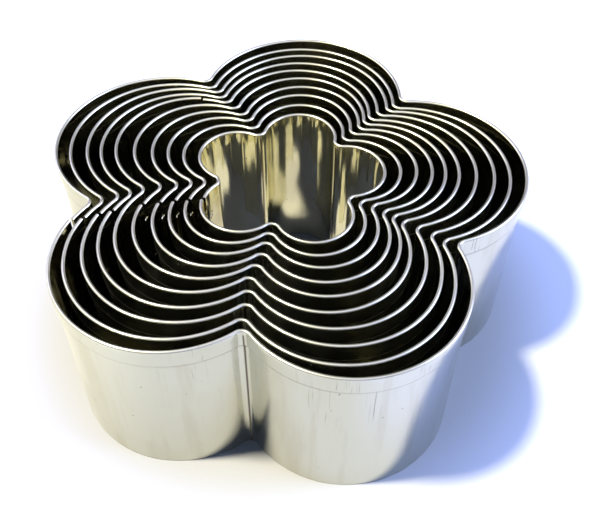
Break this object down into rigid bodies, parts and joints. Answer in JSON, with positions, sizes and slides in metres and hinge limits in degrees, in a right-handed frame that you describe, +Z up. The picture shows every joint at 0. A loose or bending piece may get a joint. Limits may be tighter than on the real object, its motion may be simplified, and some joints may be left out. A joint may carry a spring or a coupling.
{
  "type": "nested cookie cutter set",
  "caption": "Nest of five-petal flower cookie cutters of falling size, each a tall thin steel strip with a folded top hem and a spot-welded lap seam.",
  "frame": {"origin": "middle of the largest cutter's flower, on the surface that the nest stands on", "axes": "+Z up, from the cutting edges to the folded rims; the valley between the two front petals towards -Y and one petal towards +Y"},
  "size_m": [0.1188, 0.1157, 0.045],
  "materials": {
    "strip": "satin bright",
    "spot_weld": "satin"
  },
  "bodies": {
    "cutter_1": {"cutter_1_strip": "strip", "cutter_1_spot_welds": "spot_weld"},
    "cutter_2": {"cutter_2_strip": "strip", "cutter_2_spot_welds": "spot_weld"},
    "cutter_3": {"cutter_3_strip": "strip", "cutter_3_spot_welds": "spot_weld"},
    "cutter_4": {"cutter_4_strip": "strip", "cutter_4_spot_welds": "spot_weld"},
    "cutter_5": {"cutter_5_strip": "strip", "cutter_5_spot_welds": "spot_weld"},
    "cutter_6": {"cutter_6_strip": "strip", "cutter_6_spot_welds": "spot_weld"},
    "cutter_7": {"cutter_7_strip": "strip", "cutter_7_spot_welds": "spot_weld"},
    "cutter_8": {"cutter_8_strip": "strip", "cutter_8_spot_welds": "spot_weld"},
    "cutter_9": {"cutter_9_strip": "strip", "cutter_9_spot_welds": "spot_weld"},
    "cutter_10": {"cutter_10_strip": "strip", "cutter_10_spot_welds": "spot_weld"}
  },
  "joints": [
    {"name": "cutter_2_lift", "type": "slide", "parent": "cutter_1", "child": "cutter_2", "axis": [0, 0, 1], "range_m": [0, 0.05]},
    {"name": "cutter_3_lift", "type": "slide", "parent": "cutter_1", "child": "cutter_3", "axis": [0, 0, 1], "range_m": [0, 0.05]},
    {"name": "cutter_4_lift", "type": "slide", "parent": "cutter_1", "child": "cutter_4", "axis": [0, 0, 1], "range_m": [0, 0.05]},
    {"name": "cutter_5_lift", "type": "slide", "parent": "cutter_1", "child": "cutter_5", "axis": [0, 0, 1], "range_m": [0, 0.05]},
    {"name": "cutter_6_lift", "type": "slide", "parent": "cutter_1", "child": "cutter_6", "axis": [0, 0, 1], "range_m": [0, 0.05]},
    {"name": "cutter_7_lift", "type": "slide", "parent": "cutter_1", "child": "cutter_7", "axis": [0, 0, 1], "range_m": [0, 0.05]},
    {"name": "cutter_8_lift", "type": "slide", "parent": "cutter_1", "child": "cutter_8", "axis": [0, 0, 1], "range_m": [0, 0.05]},
    {"name": "cutter_9_lift", "type": "slide", "parent": "cutter_1", "child": "cutter_9", "axis": [0, 0, 1], "range_m": [0, 0.05]},
    {"name": "cutter_10_lift", "type": "slide", "parent": "cutter_1", "child": "cutter_10", "axis": [0, 0, 1], "range_m": [0, 0.05]}
  ]
}
